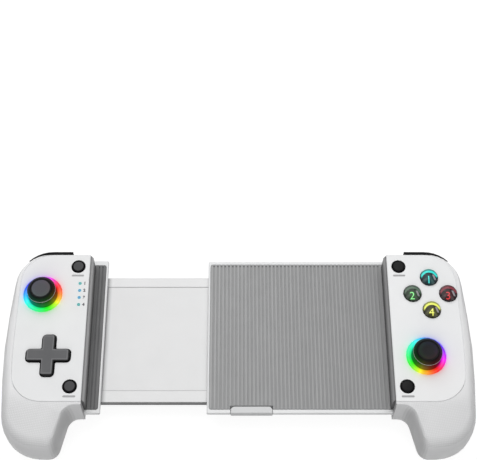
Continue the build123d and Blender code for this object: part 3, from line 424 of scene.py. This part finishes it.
# Materials that several pieces share
black_plastic = simple("black_plastic", (0.004, 0.004, 0.0045), 0.55, tone=0.1, wear=1.5, specular=0.1)
# Black painted shade, for the direction pad's sides and the walls of the cover's holes
black_shade = simple("painted_black_shade", (0.005, 0.005, 0.0055), 0.5, tone=0.1, specular=0.2)
# A pale band on the stick cap's lower edge: a painted highlight
cap_edge_highlight = simple("cap_edge_highlight", (0.45, 0.45, 0.42), 0.3, tone=0.1)
tray_white = simple("tray_white", (0.705, 0.71, 0.715), 0.36)
# A faint glow for the shell walls in the cover seams: painted light that pales their shade
painted_seam_light = glowing("painted_seam_light", white, 0.45, roughness=0.4, tone=0.03)
board_green = simple("board_green", (0.01, 0.09, 0.05), 0.35, tone=0.15)
steel = metal("steel", (0.55, 0.55, 0.56), 0.3)
mechanism = simple("mechanism", (0.10, 0.10, 0.11), 0.4)
silicone = simple("silicone", (0.45, 0.46, 0.47), 0.5)
ribbon_orange = simple("ribbon_orange", (0.36, 0.15, 0.03), 0.35)
print_grey = simple("print_grey", (0.34, 0.34, 0.345), 0.5)
figure_grey = simple("figure_grey", (0.1, 0.095, 0.105), 0.5)

# Bridge and its panel, with painted shade along their edges and seams and the ledge's painted shadow at
# their left end
shadow_grey = (0.25, 0.25, 0.255)
lower_edge_shade = (0.07, 0.07, 0.072)
ledge_shadow = ("x", -76.4, -73.2, 0.75)
bridge_white = simple("bridge_white", (0.692, 0.693, 0.695), 0.38, tone=0.015, depth=0.005)
panel_white = simple("panel_white", (0.675, 0.676, 0.678), 0.38, tone=0.015, depth=0.005)
darken(bridge_white, shadow_grey, ("y", 50.6, 49.9, 0.4), ledge_shadow)
# Painted shade on the bridge's lower edge and the wall below it
darken(bridge_white, lower_edge_shade, ("y", -26.2, -25.6, 0.95))
darken(panel_white, shadow_grey, ("y", 44.7, 44.1, 0.55), ("y", -19.2, -18.7, 0.5), ledge_shadow)

# Rubber pads: painted shade makes the tray's darker from left to right
tray_rubber = ribbed("tray_rubber", (0.345, 0.347, 0.35), (0.278, 0.28, 0.282), 56.9)
darken(tray_rubber, (0.16, 0.161, 0.163), ("x", 83.6, -16.0, 0.22))
ledge_rubber = ribbed("ledge_rubber", (0.14, 0.141, 0.143), (0.1, 0.101, 0.103), 56.4)
# The left and right pads' tones differ as painted light and shade on one rubber
wall_tones = {"left": 0.52, "right": 0.41}


def wall_rubber(side):
    """Rubber of a clamp wall's pad, with painted shade at its foot, at its back and at both its ends."""
    tone = wall_tones[side]
    material = simple(f"{side}_wall_rubber", (tone, tone, tone * 1.01), 0.55, tone=0.06)
    sign = side_signs[side]
    foot = ("z", 18.0, 29.0, 0.85)
    back = ("x", sign * clamp_x, sign * (clamp_x - 0.9), 0.95)
    high_end = ("y", 56.6, 56.2, 0.6)
    low_end = ("y", -31.1, -30.4, 0.9)
    darken(material, (0.05, 0.05, 0.052), foot, back, high_end, low_end)
    return material


# Smooth shading of the CAD pieces, whose meshes come with their faces unjoined
def smoothing_group():
    group = bpy.data.node_groups.new("smooth_by_angle", "GeometryNodeTree")
    group.interface.new_socket("Geometry", in_out="INPUT", socket_type="NodeSocketGeometry")
    group.interface.new_socket("Geometry", in_out="OUTPUT", socket_type="NodeSocketGeometry")
    start = group.nodes.new("NodeGroupInput")
    merged = add(group, "GeometryNodeMergeByDistance", {"Geometry": start.outputs[0], "Distance": 1e-6})
    values = {"Geometry": merged.outputs[0], "Shade Smooth": True}
    all_smooth = add(group, "GeometryNodeSetShadeSmooth", values)
    angle = add(group, "GeometryNodeInputMeshEdgeAngle").outputs[0]
    values = {0: angle, 1: radians(33)}
    sharp = add(group, "FunctionNodeCompare", values, data_type="FLOAT", operation="GREATER_THAN")
    values = {"Geometry": all_smooth.outputs[0], "Selection": sharp.outputs[0], "Shade Smooth": False}
    edges = add(group, "GeometryNodeSetShadeSmooth", values, domain="EDGE")
    end = group.nodes.new("NodeGroupOutput")
    group.links.new(edges.outputs[0], end.inputs[0])
    return group


smooth_by_angle = smoothing_group()
for node in nodes.values():
    if "custom_normal" in node.data.attributes:
        node.data.attributes.remove(node.data.attributes["custom_normal"])
    node.modifiers.new("smooth", "NODES").node_group = smooth_by_angle


# Materials of the CAD pieces
def dress(material, *names):
    """Gives CAD pieces a material."""
    for name in names:
        node = nodes[name]
        node.data.materials.clear()
        node.data.materials.append(material)


def paint(name, material, test):
    """Gives a second material to the faces of a CAD piece that pass a test of their middle and normal."""
    mesh = nodes[name].data
    mesh.materials.append(material)
    for polygon in mesh.polygons:
        if test(polygon.center / mm, polygon.normal):
            polygon.material_index = len(mesh.materials) - 1


def steep(middle, normal):
    """A face that turns more than 60 degrees away from straight up."""
    return normal.z < 0.5


def hole_wall(middle, normal):
    """A wall of the holes for the buttons and the direction pad, below the face."""
    hole_top = face_z - 0.2
    hole_reach = 5.4
    cross_reach = d_pad_reach + 0.8
    hole_spots = [*system_spots.values(), *face_spots.values()]
    near_hole = min((middle.x - x) ** 2 + (middle.y - y) ** 2 for x, y in hole_spots) < hole_reach**2
    in_cross = max(abs(middle.x - d_pad_centre[0]), abs(middle.y - d_pad_centre[1])) < cross_reach
    return abs(normal.z) < 0.5 and middle.z < hole_top and (near_hole or in_cross)


def seam_wall(middle, normal):
    """A wall of the shell that faces the outer edge of its front cover."""
    shell_x = 104 if middle.x > 0 else -104
    shell_y = 13
    outer_x = 112
    lowest_y = -22
    lowest_z = 24
    turned_in = normal.x * (middle.x - shell_x) + normal.y * (middle.y - shell_y) < 0
    beside_seam = abs(middle.x) > outer_x and middle.y > lowest_y and lowest_z < middle.z < face_z
    return turned_in and abs(normal.z) < 0.6 and beside_seam


for side in side_signs:
    dress(grip_material(side), f"{side}_rear_shell")
    dress(cover_material(side), f"{side}_front_cover")
    dress(board_green, f"{side}_circuit_board")
    dress(steel, f"{side}_screws", f"{side}_trigger_pin", f"{side}_trigger_spring")
    dress(wall_rubber(side), f"{side}_wall_pad")
    dress(black_plastic, f"{side}_bumper", f"{side}_trigger")
    dress(mechanism, f"{side}_stick_base", f"{side}_stick_yoke", f"{side}_stick_rocker")
    dress(silicone, f"{side}_button_domes")
    # The hole walls below the face get black painted shade
    paint(f"{side}_front_cover", black_shade, hole_wall)
    # The shell walls in the cover seams get painted light
    paint(f"{side}_rear_shell", painted_seam_light, seam_wall)
dress(tray_white, "tray_bottom", "tray_top", "left_ledge")
dress(bridge_white, "bridge_plate")
dress(panel_white, "bridge_cover")
dress(simple("tab_grey", (0.58, 0.585, 0.59), 0.4), "release_tab")
dress(tray_rubber, "tray_pad")
dress(ledge_rubber, "left_ledge_pad")
dress(d_pad_material(), "d_pad")
# The direction pad's steep sides get black painted shade
paint("d_pad", black_shade, steep)
dress(mechanism, "d_pad_pivot", "d_pad_post")
dress(metal("foil", (0.6, 0.61, 0.62), 0.35), "battery")
dress(steel, "usb_socket", "return_spring", "release_spring")
dress(ribbon_orange, "tray_ribbon", "bridge_ribbon")
dress(indicator_material(), "indicator_lights")


# Mesh helpers
def finish_mesh(work, name, materials):
    """Turns a bmesh into an object, smooth but for its sharp edges."""
    bmesh.ops.recalc_face_normals(work, faces=work.faces)
    mesh = bpy.data.meshes.new(name)
    work.to_mesh(mesh)
    work.free()
    for polygon in mesh.polygons:
        polygon.use_smooth = True
    mesh.set_sharp_from_angle(angle=sharp_angle)
    piece = bpy.data.objects.new(name, mesh)
    scene.collection.objects.link(piece)
    for material in materials:
        mesh.materials.append(material)
    return piece


def lathe(name, profile, spot, materials, slots=None, round_off=0.12):
    """A piece turned about the upright line through spot. Its profile is (radius, height) pairs, in
    millimetres. Each of slots is the place in materials of the band between two of them."""
    work = bmesh.new()
    angles = [2 * pi * i / turn_steps for i in range(turn_steps)]
    rings = []
    for r, z in profile:
        if r < 1e-6:
            rings.append([work.verts.new((spot[0] * mm, spot[1] * mm, z * mm))])
            continue
        ring = [((spot[0] + r * cos(a)) * mm, (spot[1] + r * sin(a)) * mm, z * mm) for a in angles]
        rings.append([work.verts.new(point) for point in ring])
    for k, (low, high) in enumerate(zip(rings, rings[1:])):
        for i in range(turn_steps):
            j = (i + 1) % turn_steps
            corners = [low[i], low[j]] if len(low) > 1 else [low[0]]
            corners += [high[j], high[i]] if len(high) > 1 else [high[0]]
            if len(corners) > 2:
                face = work.faces.new(corners)
                face.material_index = slots[k] if slots else 0
    piece = finish_mesh(work, name, materials)
    bevel = piece.modifiers.new("rounding", "BEVEL")
    bevel.width = round_off * mm
    bevel.segments = 2
    bevel.limit_method = "ANGLE"
    bevel.angle_limit = sharp_angle
    return piece


def arc(radius, centre_z, first, last, steps):
    """Points (radius, height) on an arc about a point of the axis, with angles in degrees from the top."""
    turn = [radians(first + (last - first) * i / steps) for i in range(steps + 1)]
    return [(radius * sin(a), centre_z + radius * cos(a)) for a in turn]


def ball_radius(radius, height):
    """The radius of the ball whose cap has this radius and height."""
    return (radius**2 + height**2) / (2 * height)


def crown(radius, top, height, steps=8):
    """Points from the middle of a crowned top out to its rim."""
    ball = ball_radius(radius, height)
    centre_z = top + height - ball
    turn = [asin(radius / ball) * i / steps for i in range(steps + 1)]
    return [(ball * sin(a), centre_z + ball * cos(a)) for a in turn]


# Thumb sticks and their light rings
# The two dishes' tones differ as painted light and shade on one rubber
dish_tones = {"left": 0.085, "right": 0.016}
dish_radius = 5.15
dish_z = 37.7
dish_rise = 0.3
stem_hole_radius = 1.6
stem_hole_top = 33.6


def stick_cap(side):
    """Rubber cap with a dished top, on the dome that closes the ring's opening."""
    inner_radius = dome_radius - dome_wall
    outer = arc(dome_radius, pivot_z, degrees(asin(cap_neck / dome_radius)), dome_angle, 10)
    inner = arc(inner_radius, pivot_z, degrees(asin(cap_hub / inner_radius)), dome_angle, 6)[::-1]
    dish = [(r, dish_z + dish_rise * (r / dish_radius) ** 2) for r in (0, 1.3, 2.6, 3.9, dish_radius)]
    groove = [(5.25, dish_z), (5.6, dish_z), (5.7, 38.2)]
    flank = [(5.9, 38.35), (6.35, 38.0), (7.5, 36.8), (7.88, 36.3)]
    # The edge band takes a painted highlight
    edge = [(7.95, 36.2), (7.95, 35.75)]
    under = [(7.7, 35.6), (6.4, 35.1), (4.4, 33.9)]
    hub = [(cap_hub, hub_low_z), (stem_hole_radius, hub_low_z)]
    hub += [(stem_hole_radius, stem_hole_top), (0, stem_hole_top)]
    groups = [(dish, 1), (groove, 2), (flank, 0), (edge, 3), (under, 2), (outer, 4), (inner, 4), (hub, 2)]
    profile = [point for points, slot in groups for point in points]
    slots = [slot for points, slot in groups for point in points][1:]
    tone = dish_tones[side]
    materials = [
        painted_ring_glow("cap_rubber", (0.004, 0.004, 0.0045), 0.5, side, 5.6, 8.4, 0.045),
        painted_ring_glow("cap_dish", (tone, tone, tone * 1.12), 0.6, side, 2.0, 5.0, 0.012, tone=0.05),
        simple(f"{side}_cap_groove", (0.004, 0.004, 0.005), 0.7),
        cap_edge_highlight,
        painted_ring_glow("stick_dome", (0.008, 0.008, 0.009), 0.28, side, 4.8, 8.3, 0.2),
    ]
    cap = lathe(f"{side}_cap", profile, stick_spots[side], materials, slots)
    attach(cap, f"{side}_stick_cap")
    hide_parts(f"{side}_stick_cap")


def light_ring(side):
    """Clear ring with a rounded crest, on a flange below the face."""
    bore = [(ring_bore, ring_low_z), (8.05, 29.5)]
    crest = [(8.4, 29.95), (9.0, 30.25), (9.7, 30.35), (10.4, 30.25), (10.85, 30.0)]
    wall = [(ring_radius, 29.8), (ring_radius, 27.5)]
    flange = [(ring_flange, 27.4), (ring_flange, ring_low_z), (ring_bore, ring_low_z)]
    profile = bore + crest + wall + flange
    ring = lathe(f"{side}_ring", profile, stick_spots[side], [ring_material(side)], round_off=0.05)
    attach(ring, f"{side}_half")
    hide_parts(f"{side}_light_ring")


for side in side_signs:
    stick_cap(side)
    light_ring(side)


# Raised or printed marks
def numeral(name, text, size, spot, height_at, material, body, thickness=0.05, bold=0.0):
    """A figure laid on a surface: height_at(dx, dy) is the surface's height near its middle."""
    curve = bpy.data.curves.new(name, "FONT")
    curve.body = text
    curve.size = size * mm
    curve.align_x = "CENTER"
    curve.align_y = "CENTER"
    curve.offset = bold * size * mm
    curve.extrude = thickness * mm
    holder = bpy.data.objects.new(f"{name}_text", curve)
    scene.collection.objects.link(holder)
    mesh = bpy.data.meshes.new_from_object(holder.evaluated_get(bpy.context.evaluated_depsgraph_get()))
    bpy.data.objects.remove(holder)

    # Cuts it into small squares, so that it can follow a dome
    work = bmesh.new()
    work.from_mesh(mesh)
    cut_pitch = 0.4
    for k in range(-8, 9):
        for normal in ((1, 0, 0), (0, 1, 0)):
            at = [n * k * cut_pitch * mm for n in normal]
            everything = work.verts[:] + work.edges[:] + work.faces[:]
            bmesh.ops.bisect_plane(work, geom=everything, plane_co=at, plane_no=normal)
    work.to_mesh(mesh)
    work.free()

    for v in mesh.vertices:
        dx, dy = v.co.x / mm, v.co.y / mm
        v.co = Vector(((spot[0] + dx) * mm, (spot[1] + dy) * mm, height_at(dx, dy) * mm + v.co.z))
    mesh.materials.clear()
    mesh.materials.append(material)
    piece = bpy.data.objects.new(name, mesh)
    scene.collection.objects.link(piece)
    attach(piece, body)
    return piece


# Face buttons: smoky domes with a bright crescent at the upper rim and a figure in their lower half
def smoke_material(name, spot, body_colour, crescent_colour, mark_colour):
    """Smoky plastic over a coloured disc, whose edge shows as a crescent near the upper rim."""
    material, tree, shader = moulded(
        f"smoke_{name}", body_colour, 0.14, tone=0.15, grain=900.0, depth=0.004, specular=0.2
    )
    x, y = parts(tree, place(tree))[:2]
    dx, dy, reach = away(tree, x, y, spot)

    # The crescent lies between two circles that sit low on the button, and the rim outside the larger one
    outer = away(tree, x, y, (spot[0], spot[1] - 1.2))[2]
    inner = away(tree, x, y, (spot[0] - 0.15, spot[1] - 1.9))[2]
    upper = ramp(tree, dy, -1.4 * mm, 0.6 * mm)
    between = times(tree, ramp(tree, outer, 4.95 * mm, 4.75 * mm), ramp(tree, inner, 4.0 * mm, 4.25 * mm))
    crescent = times(tree, between, upper)
    rim = times(tree, ramp(tree, outer, 4.8 * mm, 5.0 * mm), upper)

    # A slanting glint at the right
    slanted = plus(tree, minus(tree, dx, 2.4 * mm), times(tree, dy, 0.35))
    glint = ramp(tree, calc(tree, "ABSOLUTE", slanted), 0.75 * mm, 0.35 * mm)
    high = ramp(tree, calc(tree, "ABSOLUTE", plus(tree, dy, 0.7 * mm)), 2.0 * mm, 1.2 * mm)
    glint = times(tree, times(tree, glint, high), 0.7)

    # A tint in the middle, and five paler wedges round it
    tint = ramp(tree, inner, 4.0 * mm, 1.0 * mm, 0.0, 0.06)
    turn = calc(tree, "ARCTAN2", dy, dx)
    paler_wedges = calc(tree, "SINE", plus(tree, times(tree, turn, 5.0), 1.0))
    paler_wedges = times(tree, ramp(tree, paler_wedges, 0.1, 0.9), ramp(tree, reach, 1.5 * mm, 3.0 * mm, 0.0, 0.28))

    colour = mix(tree, tint, linked_from(shader.inputs["Base Color"]), shade(mark_colour))
    colour = mix(tree, paler_wedges, colour, shade([0.14 + 0.12 * c for c in crescent_colour]))
    colour = mix(tree, glint, colour, shade((0.42, 0.4, 0.43)))
    colour = mix(tree, rim, colour, shade([0.3 * c + 0.04 for c in crescent_colour]))
    colour = mix(tree, crescent, colour, shade(crescent_colour))
    tree.links.new(colour, shader.inputs["Base Color"])
    return material


# Each button's figure, and the colours of its body, crescent and figure
face_looks = {
    "top": ("1", (0.006, 0.012, 0.02), (0.045, 0.8, 0.72), (0.07, 0.86, 0.78)),
    "left": ("2", (0.018, 0.03, 0.018), (0.11, 0.17, 0.12), (0.28, 0.9, 0.3)),
    "right": ("3", (0.018, 0.01, 0.012), (0.24, 0.045, 0.06), (0.66, 0.04, 0.045)),
    "bottom": ("4", (0.022, 0.02, 0.008), (0.86, 0.92, 0.16), (0.9, 0.93, 0.16)),
}
face_rim = face_radius - 0.25
figure_size = 6.3
figure_shift = -0.5
figure_drop = 2.4


def on_dome(dx, dy):
    """The height of a face button's dome near the middle of its figure."""
    ball = ball_radius(face_rim, face_crown)
    return face_top + face_crown - ball + sqrt(ball**2 - (dx + figure_shift) ** 2 - (dy - figure_drop) ** 2)


def face_button(way, text, body_colour, crescent_colour, mark_colour):
    name = f"face_button_{way}"
    spot = face_spots[way]
    top = crown(face_rim, face_top, face_crown)
    edge = [(face_radius - 0.05, face_top - 0.15), (face_radius, face_top - 0.4)]
    flange = [(face_radius, flange_top), (face_flange, flange_top), (face_flange, flange_low)]
    foot = [(face_foot, flange_low), (face_foot, foot_z), (0, foot_z)]
    smoke = smoke_material(way, spot, body_colour, crescent_colour, mark_colour)
    button = lathe(f"{way}_dome", top + edge + flange + foot, spot, [smoke], round_off=0.06)
    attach(button, name)
    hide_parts(name)
    figure_spot = (spot[0] + figure_shift, spot[1] - figure_drop)
    glow = glowing(f"glow_{way}", mark_colour, 0.12)
    figure = numeral(f"{way}_figure", text, figure_size, figure_spot, on_dome, glow, name)


for way, looks in face_looks.items():
    face_button(way, *looks)


# System buttons, each with a small bar printed below it
# The left and right buttons' tones differ as painted light and shade on one plastic
system_tones = {"left": 0.06, "right": 0.007}
bar_drop = 5.7


def system_plastic(side):
    tone = system_tones[side]
    colour = (tone, tone, tone * 1.05)
    return simple(f"{side}_system_plastic", colour, 0.5, tone=0.08, wear=1.5, specular=0.15)


def system_button(name, spot, plastic):
    top = crown(system_radius - 0.75, system_top, system_crown, 4)
    edge = [(system_radius - 0.3, system_top - 0.12), (system_radius, system_top - 0.5)]
    flange = [(system_radius, flange_top), (system_flange, flange_top), (system_flange, flange_low)]
    foot = [(system_foot, flange_low), (system_foot, foot_z), (0, foot_z)]
    profile = top + edge + flange + foot
    # The rim and side take black plastic: painted shade of the gap round the button
    slots = [0 if k < len(top) - 1 else 1 for k in range(len(profile) - 1)]
    cap_name = name.replace("_button", "_cap")
    button = lathe(cap_name, profile, spot, [plastic, black_plastic], slots, round_off=0.06)
    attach(button, name)
    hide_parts(name)


def printed_bar(name, middle, body):
    """A thin bar with round ends on the face."""
    length, width, height = 7.0, 1.1, 0.03
    end_steps = 8
    outline = []
    for end, first in ((1, -90), (-1, 90)):
        for i in range(end_steps + 1):
            a = radians(first + 180 * i / end_steps)
            x = middle[0] + end * (length - width) / 2 + width / 2 * cos(a)
            y = middle[1] + width / 2 * sin(a)
            outline.append((x * mm, y * mm))
    work = bmesh.new()
    low = [work.verts.new((x, y, face_z * mm)) for x, y in outline]
    high = [work.verts.new((x, y, (face_z + height) * mm)) for x, y in outline]
    work.faces.new(high)
    work.faces.new(list(reversed(low)))
    for i in range(len(low)):
        j = (i + 1) % len(low)
        work.faces.new([low[i], low[j], high[j], high[i]])
    bar = finish_mesh(work, name, [print_grey])
    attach(bar, body)


system_plastics = {side: system_plastic(side) for side in side_signs}
for name, spot in system_spots.items():
    side = "left" if spot[0] < 0 else "right"
    system_button(name, spot, system_plastics[side])
    printed_bar(name.replace("_button", "_bar"), (spot[0], spot[1] - bar_drop), f"{side}_half")


# Figures beside the indicator lights
def on_face(dx, dy):
    return face_z


def indicator_figure(text, light_y):
    spot = (light_x + 2.7, light_y)
    name = f"indicator_{text}"
    figure = numeral(name, text, 2.5, spot, on_face, figure_grey, "left_half", thickness=0.04, bold=0.05)


for i, light_y in enumerate(light_ys):
    indicator_figure(str(i + 1), light_y)

# Camera at the photograph's angle
camera_data = bpy.data.cameras.new("camera")
camera_data.lens = 85.72
camera = bpy.data.objects.new("camera", camera_data)
scene.collection.objects.link(camera)
camera.location = (0, -0.2437, 0.61106)
camera.rotation_euler = (radians(28.63), 0, 0)
scene.camera = camera


# Floor and surround, white to the camera but for the object's shadow
def seen_by_camera(tree, *more_rays):
    """1 for the rays that show a background: the camera's, those through glass, and any named here."""
    rays = add(tree, "ShaderNodeLightPath").outputs
    seen = rays["Is Camera Ray"]
    for ray in (*more_rays, "Is Transmission Ray"):
        seen = calc(tree, "MAXIMUM", seen, rays[ray])
    return seen


bpy.ops.mesh.primitive_plane_add(size=6)
floor = bpy.context.object
floor.name = "floor"
floor_white, tree, shader = start_material("floor_white")
shader.inputs["Base Color"].default_value = shade((0.22, 0.22, 0.22))
shader.inputs["Roughness"].default_value = 0.9
shader.inputs["Specular IOR Level"].default_value = 0.0
shader.inputs["Emission Color"].default_value = shade((1, 1, 1))
background = times(tree, seen_by_camera(tree, "Is Glossy Ray"), 0.88)
tree.links.new(background, shader.inputs["Emission Strength"])
floor.data.materials.append(floor_white)

# Light: a white surround that is brightest overhead, a large soft lamp above, a little beyond the object,
# and a weaker one low at the front
world = bpy.data.worlds.new("world")
scene.world = world
world.use_nodes = True
tree = world.node_tree
surround = tree.nodes["Background"]
surround.inputs["Color"].default_value = shade((1, 1, 1))
upward = parts(tree, add(tree, "ShaderNodeTexCoord").outputs["Generated"])[2]
sky = ramp(tree, upward, -0.1, 0.9, 0.12, 0.62)
tree.links.new(calc(tree, "MAXIMUM", sky, seen_by_camera(tree)), surround.inputs["Strength"])


def lamp(name, spot, size, power):
    """A square lamp that points at the origin: its place and size are in metres, its power in watts."""
    data = bpy.data.lights.new(name, "AREA")
    data.shape = "SQUARE"
    data.size = size
    data.energy = power
    made = bpy.data.objects.new(name, data)
    scene.collection.objects.link(made)
    made.location = spot
    made.rotation_euler = (Vector((0, 0, 0)) - Vector(spot)).to_track_quat("-Z", "Y").to_euler()


lamp("key", (-0.1, 0.6, 1.0), 1.1, 8.7)
lamp("front", (0, -0.9, 0.45), 0.8, 2.6)

scene.view_settings.view_transform = "Standard"
